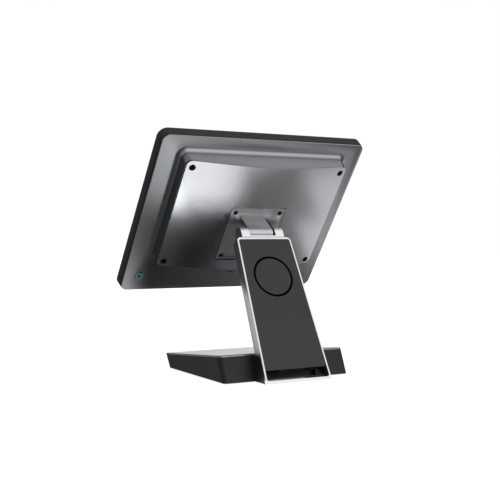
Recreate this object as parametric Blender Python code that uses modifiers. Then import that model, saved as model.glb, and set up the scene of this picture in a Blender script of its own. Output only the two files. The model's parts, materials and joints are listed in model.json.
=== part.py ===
"""A countertop point-of-sale touchscreen terminal: a tilting screen head on a leaning neck and a wedge base.

Metres, +Z up. The screen faces -Y, and the origin is under the middle of the object, on the surface it stands on.
Head pieces are drawn in the head's own frame: X across, Y up the screen, Z from the rear face towards the
screen. Neck pieces are drawn in the neck's frame: X across, Y up the neck, Z from its rear face forwards.
"""

import math

import bmesh
import bpy
from mathutils import Matrix, Vector

# ---- driving dimensions ----
GAP = 0.0003
ARC_STEPS = 6
ROUND_STEPS = 28
SCREW_STEPS = 14

REAR_LINE_Y = 0.1309

HEAD_TILT = math.radians(36.2)
HEAD_WIDTH = 0.340
HEAD_HEIGHT = 0.2773
HEAD_DEPTH = 0.017
HEAD_CORNER = 0.010
FRONT_CORNER = 0.0145
RIM_FLARE_X = 0.0064
RIM_FLARE_Y = 0.0046
GLASS_THICKNESS = 0.0028
COVER_THICKNESS = 0.001

BOX_TOP_WIDTH = 0.2712
SEAM_WIDTH = 0.2752
SEAM_Y = (-0.0683, 0.1155)
BOX_WALL = 0.002
BOX_FOOT_FILLET = 0.009
PLATE_WIDTH = 0.2706
PLATE_TOP_Y = 0.1126
PLATE_BOTTOM_Y = -0.0736
PLATE_THICKNESS = 0.002
PLATE_EDGE_RISE = 0.0228
PLATE_BULGE = 0.0138
PLATE_RIDGE = 0.030
PLATE_HOLE = 0.0049
PLATE_SCREWS = [(x, y) for y in (-0.0655, 0.1015) for x in (-0.1258, 0.1258)]

HINGE_PLATE_WIDTH = 0.0922
HINGE_PLATE_HEIGHT = 0.0948
HINGE_PLATE_Y = -0.0069
HINGE_PLATE_RISE = 0.0336
HINGE_PLATE_THICKNESS = 0.003
WINDOW_GAP = 0.0010
HINGE_SCREW_Y = -0.0082
HINGE_SCREWS = [(x, HINGE_SCREW_Y + y) for y in (-0.0398, 0.0398) for x in (-0.038, 0.038)]

AXIS_V = 0.0088
AXIS_RISE = 0.05495
BARREL_RADIUS = 0.010
BARREL_X = (-0.0182, 0.0218)
LEAF_X = (-0.0215, -0.0185)
ARM_THICKNESS = 0.005
SHAFT_RADIUS = 0.004
BORE_RADIUS = 0.00415

BOARD_MOUNTS = [(x, y) for x in (-0.066, 0.066) for y in (-0.060, 0.068)]

# name, middle across, width and height of each connector on the board's lower edge
PORTS = [
    ("power_jack", 0.0440, 0.0130, 0.0130),
    ("lan_port", 0.0270, 0.0160, 0.0135),
    ("usb_port_block", -0.0180, 0.0680, 0.0075),
]
PORT_FACE = -0.0672
PORT_BACK = -0.0500
PORT_RISE = 0.0123
PORT_WALL = 0.001
USB_WIDTH = 0.0125
USB_PITCH = 0.0168

BUTTON_X = 0.1454
BUTTON_Y = -0.1117
BUTTON_RADIUS = 0.0058
COLLAR_RADIUS = 0.0074
BUTTON_PROUD = 0.0006
SLOT_X = -0.0115
SLOT_Y = -0.1085

NECK_LEAN = math.radians(26.7)
NECK_LENGTH = 0.2267
NECK_BOTTOM_HALF = 0.05425
NECK_TOP_HALF = 0.0456
NECK_DEPTH = 0.0165
NECK_RIM = 0.0025
NECK_CORNER = 0.0055
AXIS_S = 0.237
AXIS_DEPTH = BARREL_RADIUS
EAR_X = ((-0.036, -0.0218), (0.0222, 0.036))
SLOT_BOTTOM = 0.0054
SLOT_TOP = 0.0208
RING_S = 0.1629
RING_RADIUS = 0.0305
RING_GROOVE = 0.0032
NECK_COVER_THICKNESS = 0.0026
CLEVIS_SCREWS = [(x, 0.189) for x in (-0.017, 0.017)]
NECK_BOLTS = [(x, 0.030) for x in (-0.014, 0.014)]
FOOT_TOP = 0.0358

BASE_HALF = 0.1034
BASE_TOP_BACK = (REAR_LINE_Y - 0.0469, 0.0384)
BASE_TOP_FRONT = (REAR_LINE_Y - 0.2293, 0.0222)
BASE_FOOT_BACK = REAR_LINE_Y - 0.0306
BASE_FOOT_FRONT = REAR_LINE_Y - 0.2130
BASE_CORNER = 0.006
BASE_PLATE = 0.0025
BASE_WALL = 0.0025
REAR_CAP_DEPTH = 0.0057
REAR_CAP_SEAM = 0.0008
FEET_X = 0.088
FEET_Y = (BASE_FOOT_FRONT + 0.016, BASE_FOOT_BACK - 0.018)
BASE_CLEARANCE = 0.001

FINISHES = {
    "black_plastic": ((0.030, 0.030, 0.031), 0.0, 0.45),
    "screen_glass": ((0.010, 0.010, 0.012), 0.0, 0.06),
    "panel": ((0.06, 0.06, 0.065), 0.3, 0.4),
    "satin_metal": ((0.42, 0.43, 0.44), 1.0, 0.38),
    "heat_sink_aluminium": ((0.55, 0.55, 0.56), 1.0, 0.45),
    "brushed_aluminium": ((0.62, 0.63, 0.64), 1.0, 0.30),
    "silver_aluminium": ((0.72, 0.73, 0.74), 1.0, 0.28),
    "graphite_aluminium": ((0.24, 0.245, 0.25), 1.0, 0.25),
    "hinge_metal": ((0.30, 0.30, 0.31), 1.0, 0.4),
    "port_metal": ((0.35, 0.35, 0.36), 1.0, 0.4),
    "button_collar": ((0.10, 0.10, 0.105), 0.6, 0.4),
    "slate_plastic": ((0.055, 0.060, 0.066), 0.0, 0.42),
    "base_plastic": ((0.024, 0.025, 0.026), 0.0, 0.5),
    "steel": ((0.45, 0.45, 0.46), 1.0, 0.4),
    "black_steel": ((0.012, 0.012, 0.012), 0.4, 0.5),
    "circuit_board": ((0.02, 0.16, 0.07), 0.0, 0.5),
    "cast_iron": ((0.08, 0.08, 0.085), 0.6, 0.7),
    "rubber": ((0.02, 0.02, 0.02), 0.0, 0.9),
    "button_green": ((0.05, 0.30, 0.25), 0.0, 0.4),
}


# ---- scene and finish ----
def clear_scene():
    for thing in list(bpy.data.objects):
        bpy.data.objects.remove(thing, do_unlink=True)


def new_collection(name):
    made = bpy.data.collections.new(name)
    bpy.context.scene.collection.children.link(made)
    return made


def finish(piece, name):
    colour, metallic, roughness = FINISHES[name]
    surface = bpy.data.materials.new(piece.name)
    surface.use_nodes = True
    shader = surface.node_tree.nodes["Principled BSDF"]
    shader.inputs["Base Color"].default_value = (*colour, 1)
    shader.inputs["Metallic"].default_value = metallic
    shader.inputs["Roughness"].default_value = roughness
    surface.diffuse_color = (*colour, 1)
    piece.data.materials.clear()
    piece.data.materials.append(surface)


def put(piece, parent, location=(0, 0, 0)):
    piece.parent = parent
    piece.location = location
    return piece


def empty(name, parent=None, location=(0, 0, 0), turn_x=0.0):
    made = bpy.data.objects.new(name, None)
    PARTS.objects.link(made)
    made.parent = parent
    made.location = location
    made.rotation_euler = (turn_x, 0, 0)
    return made


# ---- outlines ----
def rounded(corners, radius, steps=ARC_STEPS):
    """A closed outline with an arc at each corner; radius is one value, or one for each corner."""
    radii = radius if isinstance(radius, (list, tuple)) else [radius] * len(corners)
    points = []
    for index, size in enumerate(radii):
        here = Vector(corners[index])
        if size == 0:
            points.append(here)
            continue
        before = (Vector(corners[index - 1]) - here).normalized()
        after = (Vector(corners[(index + 1) % len(corners)]) - here).normalized()
        half = before.angle(after) / 2
        centre = here + (before + after).normalized() * size / math.sin(half)
        spoke = here + before * size / math.tan(half) - centre
        side = math.copysign(1, before.cross(after))
        for step in range(steps + 1):
            turn = -side * (math.pi - 2 * half) * step / steps
            points.append(centre + Matrix.Rotation(turn, 2) @ spoke)
    return points


def rectangle(width, height, x=0.0, y=0.0):
    return [(x + a * width / 2, y + b * height / 2) for a, b in ((-1, -1), (1, -1), (1, 1), (-1, 1))]


def box_outline(width, low, high, radius):
    return rounded(rectangle(width, high - low, 0, (high + low) / 2), radius)


def arc(centre, radius, start, end, steps):
    """Points on a circle, with the angles in degrees from the first axis."""
    turns = [math.radians(start + (end - start) * step / steps) for step in range(steps + 1)]
    return [(centre[0] + radius * math.cos(t), centre[1] + radius * math.sin(t)) for t in turns]


def circle(radius, x=0.0, y=0.0, steps=ROUND_STEPS):
    return arc((x, y), radius, 0, 360, steps)[:-1]


def trapezoid(bottom, top, inset, radius):
    """The neck's tapered outline between two heights, drawn in by inset at its sides."""
    def half(height):
        return NECK_BOTTOM_HALF + (NECK_TOP_HALF - NECK_BOTTOM_HALF) * height / NECK_LENGTH - inset

    corners = [(-half(bottom), bottom), (half(bottom), bottom), (half(top), top), (-half(top), top)]
    return rounded(corners, radius)


# ---- solids ----
TURNS = {
    "Z": Matrix.Identity(4),
    "Y": Matrix(((1, 0, 0, 0), (0, 0, -1, 0), (0, 1, 0, 0), (0, 0, 0, 1))),
    "X": Matrix(((0, 0, 1, 0), (1, 0, 0, 0), (0, 1, 0, 0), (0, 0, 0, 1))),
}


def solid(name, shape, parent, look):
    """An object from a bmesh, in the parts, or among the cutters where it has no look."""
    bmesh.ops.recalc_face_normals(shape, faces=shape.faces)
    if shape.calc_volume(signed=True) < 0:
        bmesh.ops.reverse_faces(shape, faces=shape.faces)
    mesh = bpy.data.meshes.new(name)
    shape.to_mesh(mesh)
    shape.free()
    piece = bpy.data.objects.new(name, mesh)
    mesh.shade_smooth()
    mesh.set_sharp_from_angle(angle=math.radians(35))
    if look:
        PARTS.objects.link(piece)
        finish(piece, look)
    else:
        CUTTERS.objects.link(piece)
        piece.hide_render = True
        piece.display_type = "WIRE"
    return put(piece, parent)


def slab_mesh(outlines, start, end, along):
    """A flat outline, with any others as holes, extruded from start to end along an axis."""
    curve = bpy.data.curves.new("outline", "CURVE")
    curve.dimensions = "2D"
    curve.fill_mode = "BOTH"
    curve.extrude = (end - start) / 2
    for outline in outlines:
        spline = curve.splines.new("POLY")
        spline.points.add(len(outline) - 1)
        for point, (x, y) in zip(spline.points, outline):
            point.co = (x, y, 0, 1)
        spline.use_cyclic_u = True
    guide = bpy.data.objects.new("outline", curve)
    bpy.context.scene.collection.objects.link(guide)
    bpy.context.view_layer.update()
    mesh = bpy.data.meshes.new_from_object(guide.evaluated_get(bpy.context.evaluated_depsgraph_get()))
    bpy.data.objects.remove(guide, do_unlink=True)
    bpy.data.curves.remove(curve)
    shape = bmesh.new()
    shape.from_mesh(mesh)
    bpy.data.meshes.remove(mesh)
    bmesh.ops.remove_doubles(shape, verts=shape.verts, dist=1e-6)
    middle = (start + end) / 2 if along != "Y" else -(start + end) / 2
    shape.transform(TURNS[along] @ Matrix.Translation((0, 0, middle)))
    return shape


def slab(name, outlines, start, end, parent, look=None, along="Z"):
    return solid(name, slab_mesh(outlines, start, end, along), parent, look)


def block(name, low, high, parent, look=None):
    shape = bmesh.new()
    size = Vector(high) - Vector(low)
    middle = (Vector(high) + Vector(low)) / 2
    bmesh.ops.create_cube(shape, size=1, matrix=Matrix.Translation(middle) @ Matrix.Diagonal((*size, 1)))
    return solid(name, shape, parent, look)


def pins(name, places, radius, start, end, parent, look=None, along="Z", steps=ROUND_STEPS):
    """One round pin at each place, from start to end along an axis."""
    shape = bmesh.new()
    for x, y in places:
        where = Matrix.Translation((x, y, (start + end) / 2 * (-1 if along == "Y" else 1)))
        bmesh.ops.create_cone(
            shape, cap_ends=True, segments=steps, radius1=radius, radius2=radius, depth=end - start, matrix=where
        )
    shape.transform(TURNS[along])
    return solid(name, shape, parent, look)


def loft(name, rings, parent, look=None, closed=False):
    """A skin through rings of equally many points; the ends are capped, or joined to each other if closed."""
    shape = bmesh.new()
    rows = [[shape.verts.new(point) for point in ring] for ring in rings]
    pairs = list(zip(rows, rows[1:] + rows[:1] if closed else rows[1:]))
    for lower, upper in pairs:
        for index in range(len(lower)):
            after = (index + 1) % len(lower)
            shape.faces.new((lower[index], lower[after], upper[after], upper[index]))
    if not closed:
        shape.faces.new(rows[0])
        shape.faces.new(rows[-1])
    return solid(name, shape, parent, look)


def at_depth(outline, z):
    return [(x, y, z) for x, y in outline]


def rim(width, height, radius, z):
    return at_depth(rounded(rectangle(width, height), radius), z)


def cut(piece, cutter, operation="DIFFERENCE"):
    change = piece.modifiers.new(cutter.name, "BOOLEAN")
    change.operation = operation
    change.object = cutter
    change.solver = "EXACT"


def soften(piece, width, segments=2):
    """Rounds the piece's sharp edges."""
    edge = piece.modifiers.new("soft_edges", "BEVEL")
    edge.width = width
    edge.segments = segments
    edge.limit_method = "ANGLE"
    edge.angle_limit = math.radians(50)


def turned(name, profile, parent, look, steps=ROUND_STEPS):
    """A round piece about Z from its (radius, height) profile, which runs from top to bottom."""
    mesh = bpy.data.meshes.new(name)
    points = [(radius, 0, height) for radius, height in profile]
    mesh.from_pydata(points, [(i, i + 1) for i in range(len(points) - 1)], [])
    piece = bpy.data.objects.new(name, mesh)
    PARTS.objects.link(piece)
    spin = piece.modifiers.new("turn", "SCREW")
    spin.steps = steps
    spin.render_steps = steps
    spin.use_merge_vertices = True
    spin.merge_threshold = 0.00005
    spin.use_smooth_shade = True
    finish(piece, look)
    return put(piece, parent)


def screw(name, place, top, head_radius, head_height, shank_radius, length, parent, look):
    """A socket-head screw whose head's top is at depth `top`, pointing towards +Z."""
    socket = head_radius * 0.45
    deep = head_height * 0.6
    profile = [
        (0, length),
        (shank_radius, length),
        (shank_radius, head_height),
        (head_radius, head_height),
        (head_radius, 0),
        (socket, 0),
        (socket, deep),
        (0, deep),
    ]
    made = turned(name, profile, parent, look, SCREW_STEPS)
    made.location = (place[0], place[1], top)
    return made


# ---- head ----
def arch(x):
    """How far the bowed rear plate stands out of the head's rear face."""
    reach = PLATE_WIDTH / 2
    full = math.hypot(reach, PLATE_RIDGE) - PLATE_RIDGE
    fall = PLATE_BULGE * (math.hypot(x, PLATE_RIDGE) - PLATE_RIDGE) / full
    return PLATE_EDGE_RISE + PLATE_BULGE - fall


def arch_line(offset, reach=0.140, steps=20):
    """The bow of the rear plate from side to side, lowered by offset, as points in X and Z."""
    stations = [reach * (2 * step / steps - 1) for step in range(steps + 1)]
    return [(x, -(arch(x) - offset)) for x in stations]


def make_screen(head):
    inner = HEAD_DEPTH - GLASS_THICKNESS - GAP
    wide, tall = HEAD_WIDTH + RIM_FLARE_X, HEAD_HEIGHT + RIM_FLARE_Y
    pocket = (wide - 0.0048, tall - 0.0048)
    groove_end = 0.0042
    loft(
        "front_bezel",
        [
            rim(wide, tall, FRONT_CORNER, HEAD_DEPTH - 0.0008),
            rim(wide - 0.0012, tall - 0.0012, FRONT_CORNER - 0.0006, HEAD_DEPTH),
            rim(*pocket, FRONT_CORNER - 0.0024, HEAD_DEPTH),
            rim(*pocket, FRONT_CORNER - 0.0024, inner),
            rim(0.3285, 0.2555, 0.002, inner),
            rim(0.3285, 0.2555, 0.002, inner - 0.0022),
            rim(HEAD_WIDTH - 0.005, HEAD_HEIGHT - 0.005, HEAD_CORNER - 0.002, inner - 0.0022),
            rim(HEAD_WIDTH - 0.005, HEAD_HEIGHT - 0.005, HEAD_CORNER - 0.002, COVER_THICKNESS + GAP),
            rim(HEAD_WIDTH - 0.0008, HEAD_HEIGHT - 0.0008, HEAD_CORNER, COVER_THICKNESS + GAP),
            rim(HEAD_WIDTH - 0.0008, HEAD_HEIGHT - 0.0008, HEAD_CORNER, groove_end - 0.0006),
            rim(HEAD_WIDTH + 0.0020, HEAD_HEIGHT + 0.0014, HEAD_CORNER + 0.0005, groove_end),
        ],
        head,
        "black_plastic",
        closed=True,
    )
    glass = rounded(rectangle(pocket[0] - 2 * GAP, pocket[1] - 2 * GAP), FRONT_CORNER - 0.0027)
    pane = slab("touch_glass", [glass], HEAD_DEPTH - GLASS_THICKNESS, HEAD_DEPTH, head, "screen_glass")
    soften(pane, 0.0005)
    panel_edge = rounded(rectangle(0.3265, 0.2535), 0.001, 2)
    slab("lcd_panel", [panel_edge], 0.0053, HEAD_DEPTH - GLASS_THICKNESS - 2 * GAP, head, "panel")


def make_chassis(head):
    edge = rounded(rectangle(0.318, 0.246), 0.004, 3)
    ways = [rounded(rectangle(0.030, 0.012, x, 0.095), 0.003, 3) for x in (-0.06, 0.06)]
    button_way = circle(COLLAR_RADIUS + 0.0008, BUTTON_X, BUTTON_Y, 20)
    plate = slab("chassis_plate", [edge, *ways, button_way], 0.0040, 0.0050, head, "steel")
    posts = pins("board_posts", BOARD_MOUNTS, 0.003, -0.0101, 0.0045, head, steps=12)
    cut(plate, posts, "UNION")


def seam_ring(grow, z):
    """The box's outline at its seam, grown by an amount, at a depth."""
    low, high = SEAM_Y
    return at_depth(box_outline(SEAM_WIDTH + 2 * grow, low - grow, high + grow, 0.009 + grow * 0.8), z)


def make_rear_cover(head):
    """The sheet over the head's back, which sweeps up into the foot of the box."""
    skin = COVER_THICKNESS
    sweep = arc((BOX_FOOT_FILLET, BOX_FOOT_FILLET), BOX_FOOT_FILLET, -90, -180, 7)
    cover = loft(
        "rear_cover",
        [
            rim(HEAD_WIDTH, HEAD_HEIGHT, HEAD_CORNER, skin),
            rim(HEAD_WIDTH, HEAD_HEIGHT, HEAD_CORNER, 0.0003),
            rim(HEAD_WIDTH - 0.0006, HEAD_HEIGHT - 0.0006, HEAD_CORNER, 0),
            *[seam_ring(grow, -rise) for grow, rise in sweep],
            seam_ring(-BOX_WALL, -BOX_FOOT_FILLET),
            seam_ring(0.0003, -0.0035),
            seam_ring(0.0040, skin),
        ],
        head,
        "satin_metal",
        closed=True,
    )
    cut(cover, pins("button_collar_hole", [(BUTTON_X, BUTTON_Y)], COLLAR_RADIUS + GAP, -0.001, 0.003, head))
    lens = arc((SLOT_X, SLOT_Y + 0.0193), 0.0193, -116, -64, 10) + arc((SLOT_X, SLOT_Y + 0.0302), 0.0282, -72, -108, 8)
    cut(cover, slab("lens_slot", [lens], -0.001, 0.003, head))


def make_box_frame(head):
    top = (-0.0716, 0.1122)
    ledge = 0.0145
    deep = -0.045

    def ring(width, low, high, inset, z):
        return at_depth(box_outline(width - 2 * inset, low + inset, high - inset, 0.009 - min(inset, 0.004)), z)

    def wall(inset, z):
        share = (-z - BOX_FOOT_FILLET) / (PLATE_EDGE_RISE - BOX_FOOT_FILLET)
        width = SEAM_WIDTH + (BOX_TOP_WIDTH - SEAM_WIDTH) * share
        low, high = (a + (b - a) * share for a, b in zip(SEAM_Y, top))
        return ring(width, low, high, inset, z)

    start = -BOX_FOOT_FILLET - GAP
    frame = loft(
        "box_frame",
        [
            wall(0, start),
            wall(0, deep),
            wall(BOX_WALL, deep),
            wall(BOX_WALL, -0.0165),
            wall(ledge, -0.0165),
            wall(ledge, -0.0145),
            wall(BOX_WALL, -0.0145),
            wall(BOX_WALL, start),
        ],
        head,
        "satin_metal",
        closed=True,
    )
    sky = arch_line(PLATE_THICKNESS + GAP, 0.150) + [(0.150, -0.060), (-0.150, -0.060)]
    cut(frame, slab("above_the_bow", [sky], -0.1, 0.14, head, along="Y"))
    cut(frame, block("port_window", (-0.0545, -0.080, -0.0272), (0.0545, -0.0500, -0.0112), head))
    cut(frame, pins("frame_screw_holes", PLATE_SCREWS, 0.0018, -0.030, -0.010, head, steps=12))
    cut(frame, pins("frame_head_rooms", PLATE_SCREWS, PLATE_HOLE - 0.0001, -0.030, -0.0194, head, steps=20))


def make_back_plate(head):
    hinge_way = rounded(
        rectangle(HINGE_PLATE_WIDTH + 2 * WINDOW_GAP, HINGE_PLATE_HEIGHT + 2 * WINDOW_GAP, 0, HINGE_PLATE_Y),
        [0.002, 0.002, 0.006, 0.002],
    )
    edge = box_outline(PLATE_WIDTH, PLATE_BOTTOM_Y, PLATE_TOP_Y, 0.009)
    holes = [circle(PLATE_HOLE, x, y, 20) for x, y in PLATE_SCREWS]
    plate = slab("back_plate", [edge, hinge_way, *holes], -0.045, -0.015, head, "brushed_aluminium")
    bowed = arch_line(0, 0.145) + arch_line(PLATE_THICKNESS, 0.145)[::-1]
    cut(plate, slab("bow", [bowed], -0.1, 0.14, head, along="Y"), "INTERSECT")
    for index, (x, y) in enumerate(PLATE_SCREWS):
        top = -(arch(x) - 0.0010)
        screw(f"back_plate_screw_{index + 1}", (x, y), top, PLATE_HOLE - 0.0005, 0.0030, 0.0015, 0.0090, head,
              "black_steel")


def hinge_profile(radius, top, start, thickness):
    """Outline in Y and Z of an arm that leaves the hinge plate and ends round the hinge's axis."""
    low = top - thickness
    meets = math.degrees(math.asin((low - AXIS_V) / radius))
    begins = math.degrees(math.asin(min(1.0, (top - AXIS_V) / radius)))
    return [(low, -start), (top, -start)] + arc((AXIS_V, -AXIS_RISE), radius, begins - 90, -270 - meets, 30)


def make_hinge_plate(head):
    edge = rounded(
        rectangle(HINGE_PLATE_WIDTH, HINGE_PLATE_HEIGHT, 0, HINGE_PLATE_Y), [0.0015, 0.0015, 0.005, 0.0015]
    )
    floor = -(HINGE_PLATE_RISE - HINGE_PLATE_THICKNESS)
    plate = slab("hinge_plate", [edge], -HINGE_PLATE_RISE, floor, head, "hinge_metal")
    top = AXIS_V + BARREL_RADIUS
    outline = hinge_profile(BARREL_RADIUS, top, HINGE_PLATE_RISE - 0.0015, ARM_THICKNESS)
    bore = circle(BORE_RADIUS, AXIS_V, -AXIS_RISE)
    cut(plate, slab("arm_and_barrel", [outline, bore], *BARREL_X, head, along="X"), "UNION")
    seat = floor - 0.0008
    cut(plate, pins("hinge_screw_ways", HINGE_SCREWS, 0.0021, -0.040, -0.025, head, steps=14))
    cut(plate, pins("hinge_screw_seats", HINGE_SCREWS, 0.0040, -0.040, seat, head, steps=20))
    outline = hinge_profile(BARREL_RADIUS - 0.0004, top - 0.0004, HINGE_PLATE_RISE + GAP, ARM_THICKNESS)
    bore = circle(BORE_RADIUS, AXIS_V, -AXIS_RISE)
    slab("friction_leaf", [outline, bore], *LEAF_X, head, "black_steel", along="X")
    for index, place in enumerate(HINGE_SCREWS):
        screw(f"hinge_plate_screw_{index + 1}", place, seat - GAP - 0.0010, 0.0030, 0.0010, 0.0018, 0.0070, head,
              "black_steel")


def make_mounting_bracket(head):
    """The bent steel bridge that carries the hinge plate's load to the chassis."""
    top = HINGE_PLATE_RISE - HINGE_PLATE_THICKNESS - GAP
    sheet = 0.0025
    foot = -0.0037
    upper = [(-0.112, foot), (-0.098, foot), (-0.048, top - sheet), (0.048, top - sheet), (0.098, foot), (0.112, foot)]
    outer = [(0.112, foot + sheet), (0.0960, foot + sheet), (0.0468, top), (-0.0468, top), (-0.0960, foot + sheet),
             (-0.112, foot + sheet)]
    profile = [(x, -rise) for x, rise in upper + outer]
    bridge = slab("mounting_bracket", [profile], -0.0535, 0.0375, head, "steel", along="Y")
    cut(bridge, pins("bracket_screw_holes", HINGE_SCREWS, 0.0021, -0.040, -0.020, head, steps=14))


def make_electronics(head):
    board_back, board_front = -0.0120, -0.0104
    mounts = [circle(0.0016, x, y, 12) for x, y in BOARD_MOUNTS]
    slab("main_board", [rectangle(0.144, 0.138, 0, 0.004), *mounts], board_back, board_front, head, "circuit_board")
    base = board_back - GAP
    fins = 9
    comb = [(-0.027, base), (0.027, base)]
    for fin in range(fins):
        left = 0.027 - 0.006 * fin - 0.003
        comb += [(left + 0.003, base - 0.011), (left + 0.0012, base - 0.011), (left + 0.0012, base - 0.003)]
        if fin < fins - 1:
            comb.append((left - 0.003, base - 0.003))
    comb += [(-0.027, base - 0.003)]
    slab("heat_sink", [comb], -0.014, 0.030, head, "heat_sink_aluminium", along="Y")
    block("memory_module", (-0.066, 0.036, base - 0.0042), (0.004, 0.066, base), head, "circuit_board")
    drive_edge = rounded(rectangle(0.0699, 0.100, 0.0, 0.0), 0.003, 2)
    drive = slab("solid_state_drive", [drive_edge], -0.0070, 0.0, head, "port_metal")
    drive.rotation_euler = (0, 0, math.radians(90))
    drive.location = (0.0, 0.070, 0.0030)
    block("speaker", (0.0905, 0.045, -0.0130), (0.1180, 0.095, 0.0034), head, "black_plastic")


def port_sockets(name, x, width, height):
    """The outlines of the openings in a connector's face, in X and Z."""
    middle = -(PORT_RISE + height / 2)
    if name == "power_jack":
        return [circle(0.0046, x, middle, 16)]
    if name == "usb_port_block":
        places = [x + USB_PITCH * (step - 1.5) for step in range(4)]
        return [rectangle(USB_WIDTH, height - 2 * PORT_WALL, place, middle) for place in places]
    return [rectangle(width - 2 * PORT_WALL, height - 2 * PORT_WALL, x, middle)]


def make_ports(head):
    edge = rectangle(0.1080, 0.0154, 0, -0.0192)
    ways = [rectangle(w + 2 * GAP, h + 2 * GAP, x, -(PORT_RISE + h / 2)) for _, x, w, h in PORTS]
    slab("port_shield", [edge, *ways], PORT_FACE - 0.0010, PORT_FACE + 0.0004, head, "port_metal", along="Y")
    for name, x, width, height in PORTS:
        low = (x - width / 2, PORT_FACE - 0.0012, -(PORT_RISE + height))
        port = block(name, low, (x + width / 2, PORT_BACK, -PORT_RISE), head, "port_metal")
        for index, outline in enumerate(port_sockets(name, x, width, height)):
            socket = slab(f"{name}_socket_{index}", [outline], PORT_FACE - 0.003, PORT_BACK - 0.002, head, along="Y")
            cut(port, socket)


def make_power_button(head):
    edges = [circle(COLLAR_RADIUS), circle(BUTTON_RADIUS + GAP)]
    ring = slab("power_button_ring", edges, -0.0004, 0.0016, head, "button_collar")
    ring.location = (BUTTON_X, BUTTON_Y, 0)
    profile = [
        (0, 0.0022),
        (BUTTON_RADIUS - 0.0008, 0.0022),
        (BUTTON_RADIUS, 0.0020),
        (BUTTON_RADIUS, 0.0002 - BUTTON_PROUD),
        (BUTTON_RADIUS - 0.0002, -BUTTON_PROUD),
        (0, -BUTTON_PROUD),
    ]
    cap = turned("power_button", profile, head, "button_green")
    cap.location = (BUTTON_X, BUTTON_Y, 0)
    board = slab("button_switch_board", [circle(0.0060, 0, 0, 24)], 0.0032, 0.0037, head, "circuit_board")
    board.location = (BUTTON_X, BUTTON_Y, 0)


# ---- hinge and neck ----
def make_clevis(neck):
    front = NECK_DEPTH - 0.0005
    tongue = (0.0046, 0.0092)
    shoulder = 0.1997
    seat = 0.2271
    lip = 0.2296
    saddle = BARREL_RADIUS + 0.0006
    axis = (AXIS_S, AXIS_DEPTH)
    root = [(shoulder, front), (shoulder, tongue[1]), (0.180, tongue[1]), (0.180, tongue[0]), (shoulder, tongue[0])]
    root += [(shoulder, 0.0033), (seat, 0.0033), (seat, 0.0)]
    lip_angle = math.degrees(math.acos((AXIS_S - lip) / saddle))
    front_angle = math.degrees(math.asin((front - AXIS_DEPTH) / saddle))
    hollow = arc(axis, saddle, 180 + lip_angle, 180 - front_angle, 12)
    clevis = slab("hinge_clevis", [root + [(lip, 0.0)] + hollow], EAR_X[0][0], EAR_X[1][1], neck, "silver_aluminium",
                  along="X")
    for side, (low, high) in zip(("right", "left"), EAR_X):
        ear = root + arc(axis, BARREL_RADIUS, -90, 90, 16) + [(0.224, front)]
        cut(clevis, slab(f"{side}_ear", [ear], low, high, neck, along="X"), "UNION")
    cut(clevis, pins("shaft_way", [axis], BORE_RADIUS, -0.05, 0.05, neck, along="X"))
    for low, high in ((0.0335, 0.05), (-0.05, -0.0335)):
        cut(clevis, pins(f"shaft_seat_{high:.2f}", [axis], 0.0068, low, high, neck, along="X"))
    cut(clevis, pins("tongue_holes", CLEVIS_SCREWS, 0.0023, 0.0, 0.010, neck, steps=16))
    for index, place in enumerate(CLEVIS_SCREWS):
        screw(f"clevis_screw_{index + 1}", place, 0.0033 - 0.0003, 0.0036, 0.0013, 0.0020, 0.0095, neck, "steel")


def make_shaft(neck):
    place = (0, AXIS_S, AXIS_DEPTH)
    pin = slab("hinge_shaft", [circle(SHAFT_RADIUS)], -0.0352, 0.0330, neck, "steel", along="X")
    pin.location = place
    head = slab("shaft_head", [circle(0.0064)], 0.0338, 0.0357, neck, along="X")
    head.location = place
    nut_flats = circle(0.0064, steps=6)
    nut = slab("hinge_nut", [nut_flats, circle(SHAFT_RADIUS + 0.00015)], -0.0356, -0.0338, neck, "steel", along="X")
    nut.location = place
    reach = slab("shaft_neck", [circle(SHAFT_RADIUS)], 0.0325, 0.0345, neck, along="X")
    reach.location = place
    cut(pin, reach, "UNION")
    cut(pin, head, "UNION")


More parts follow.
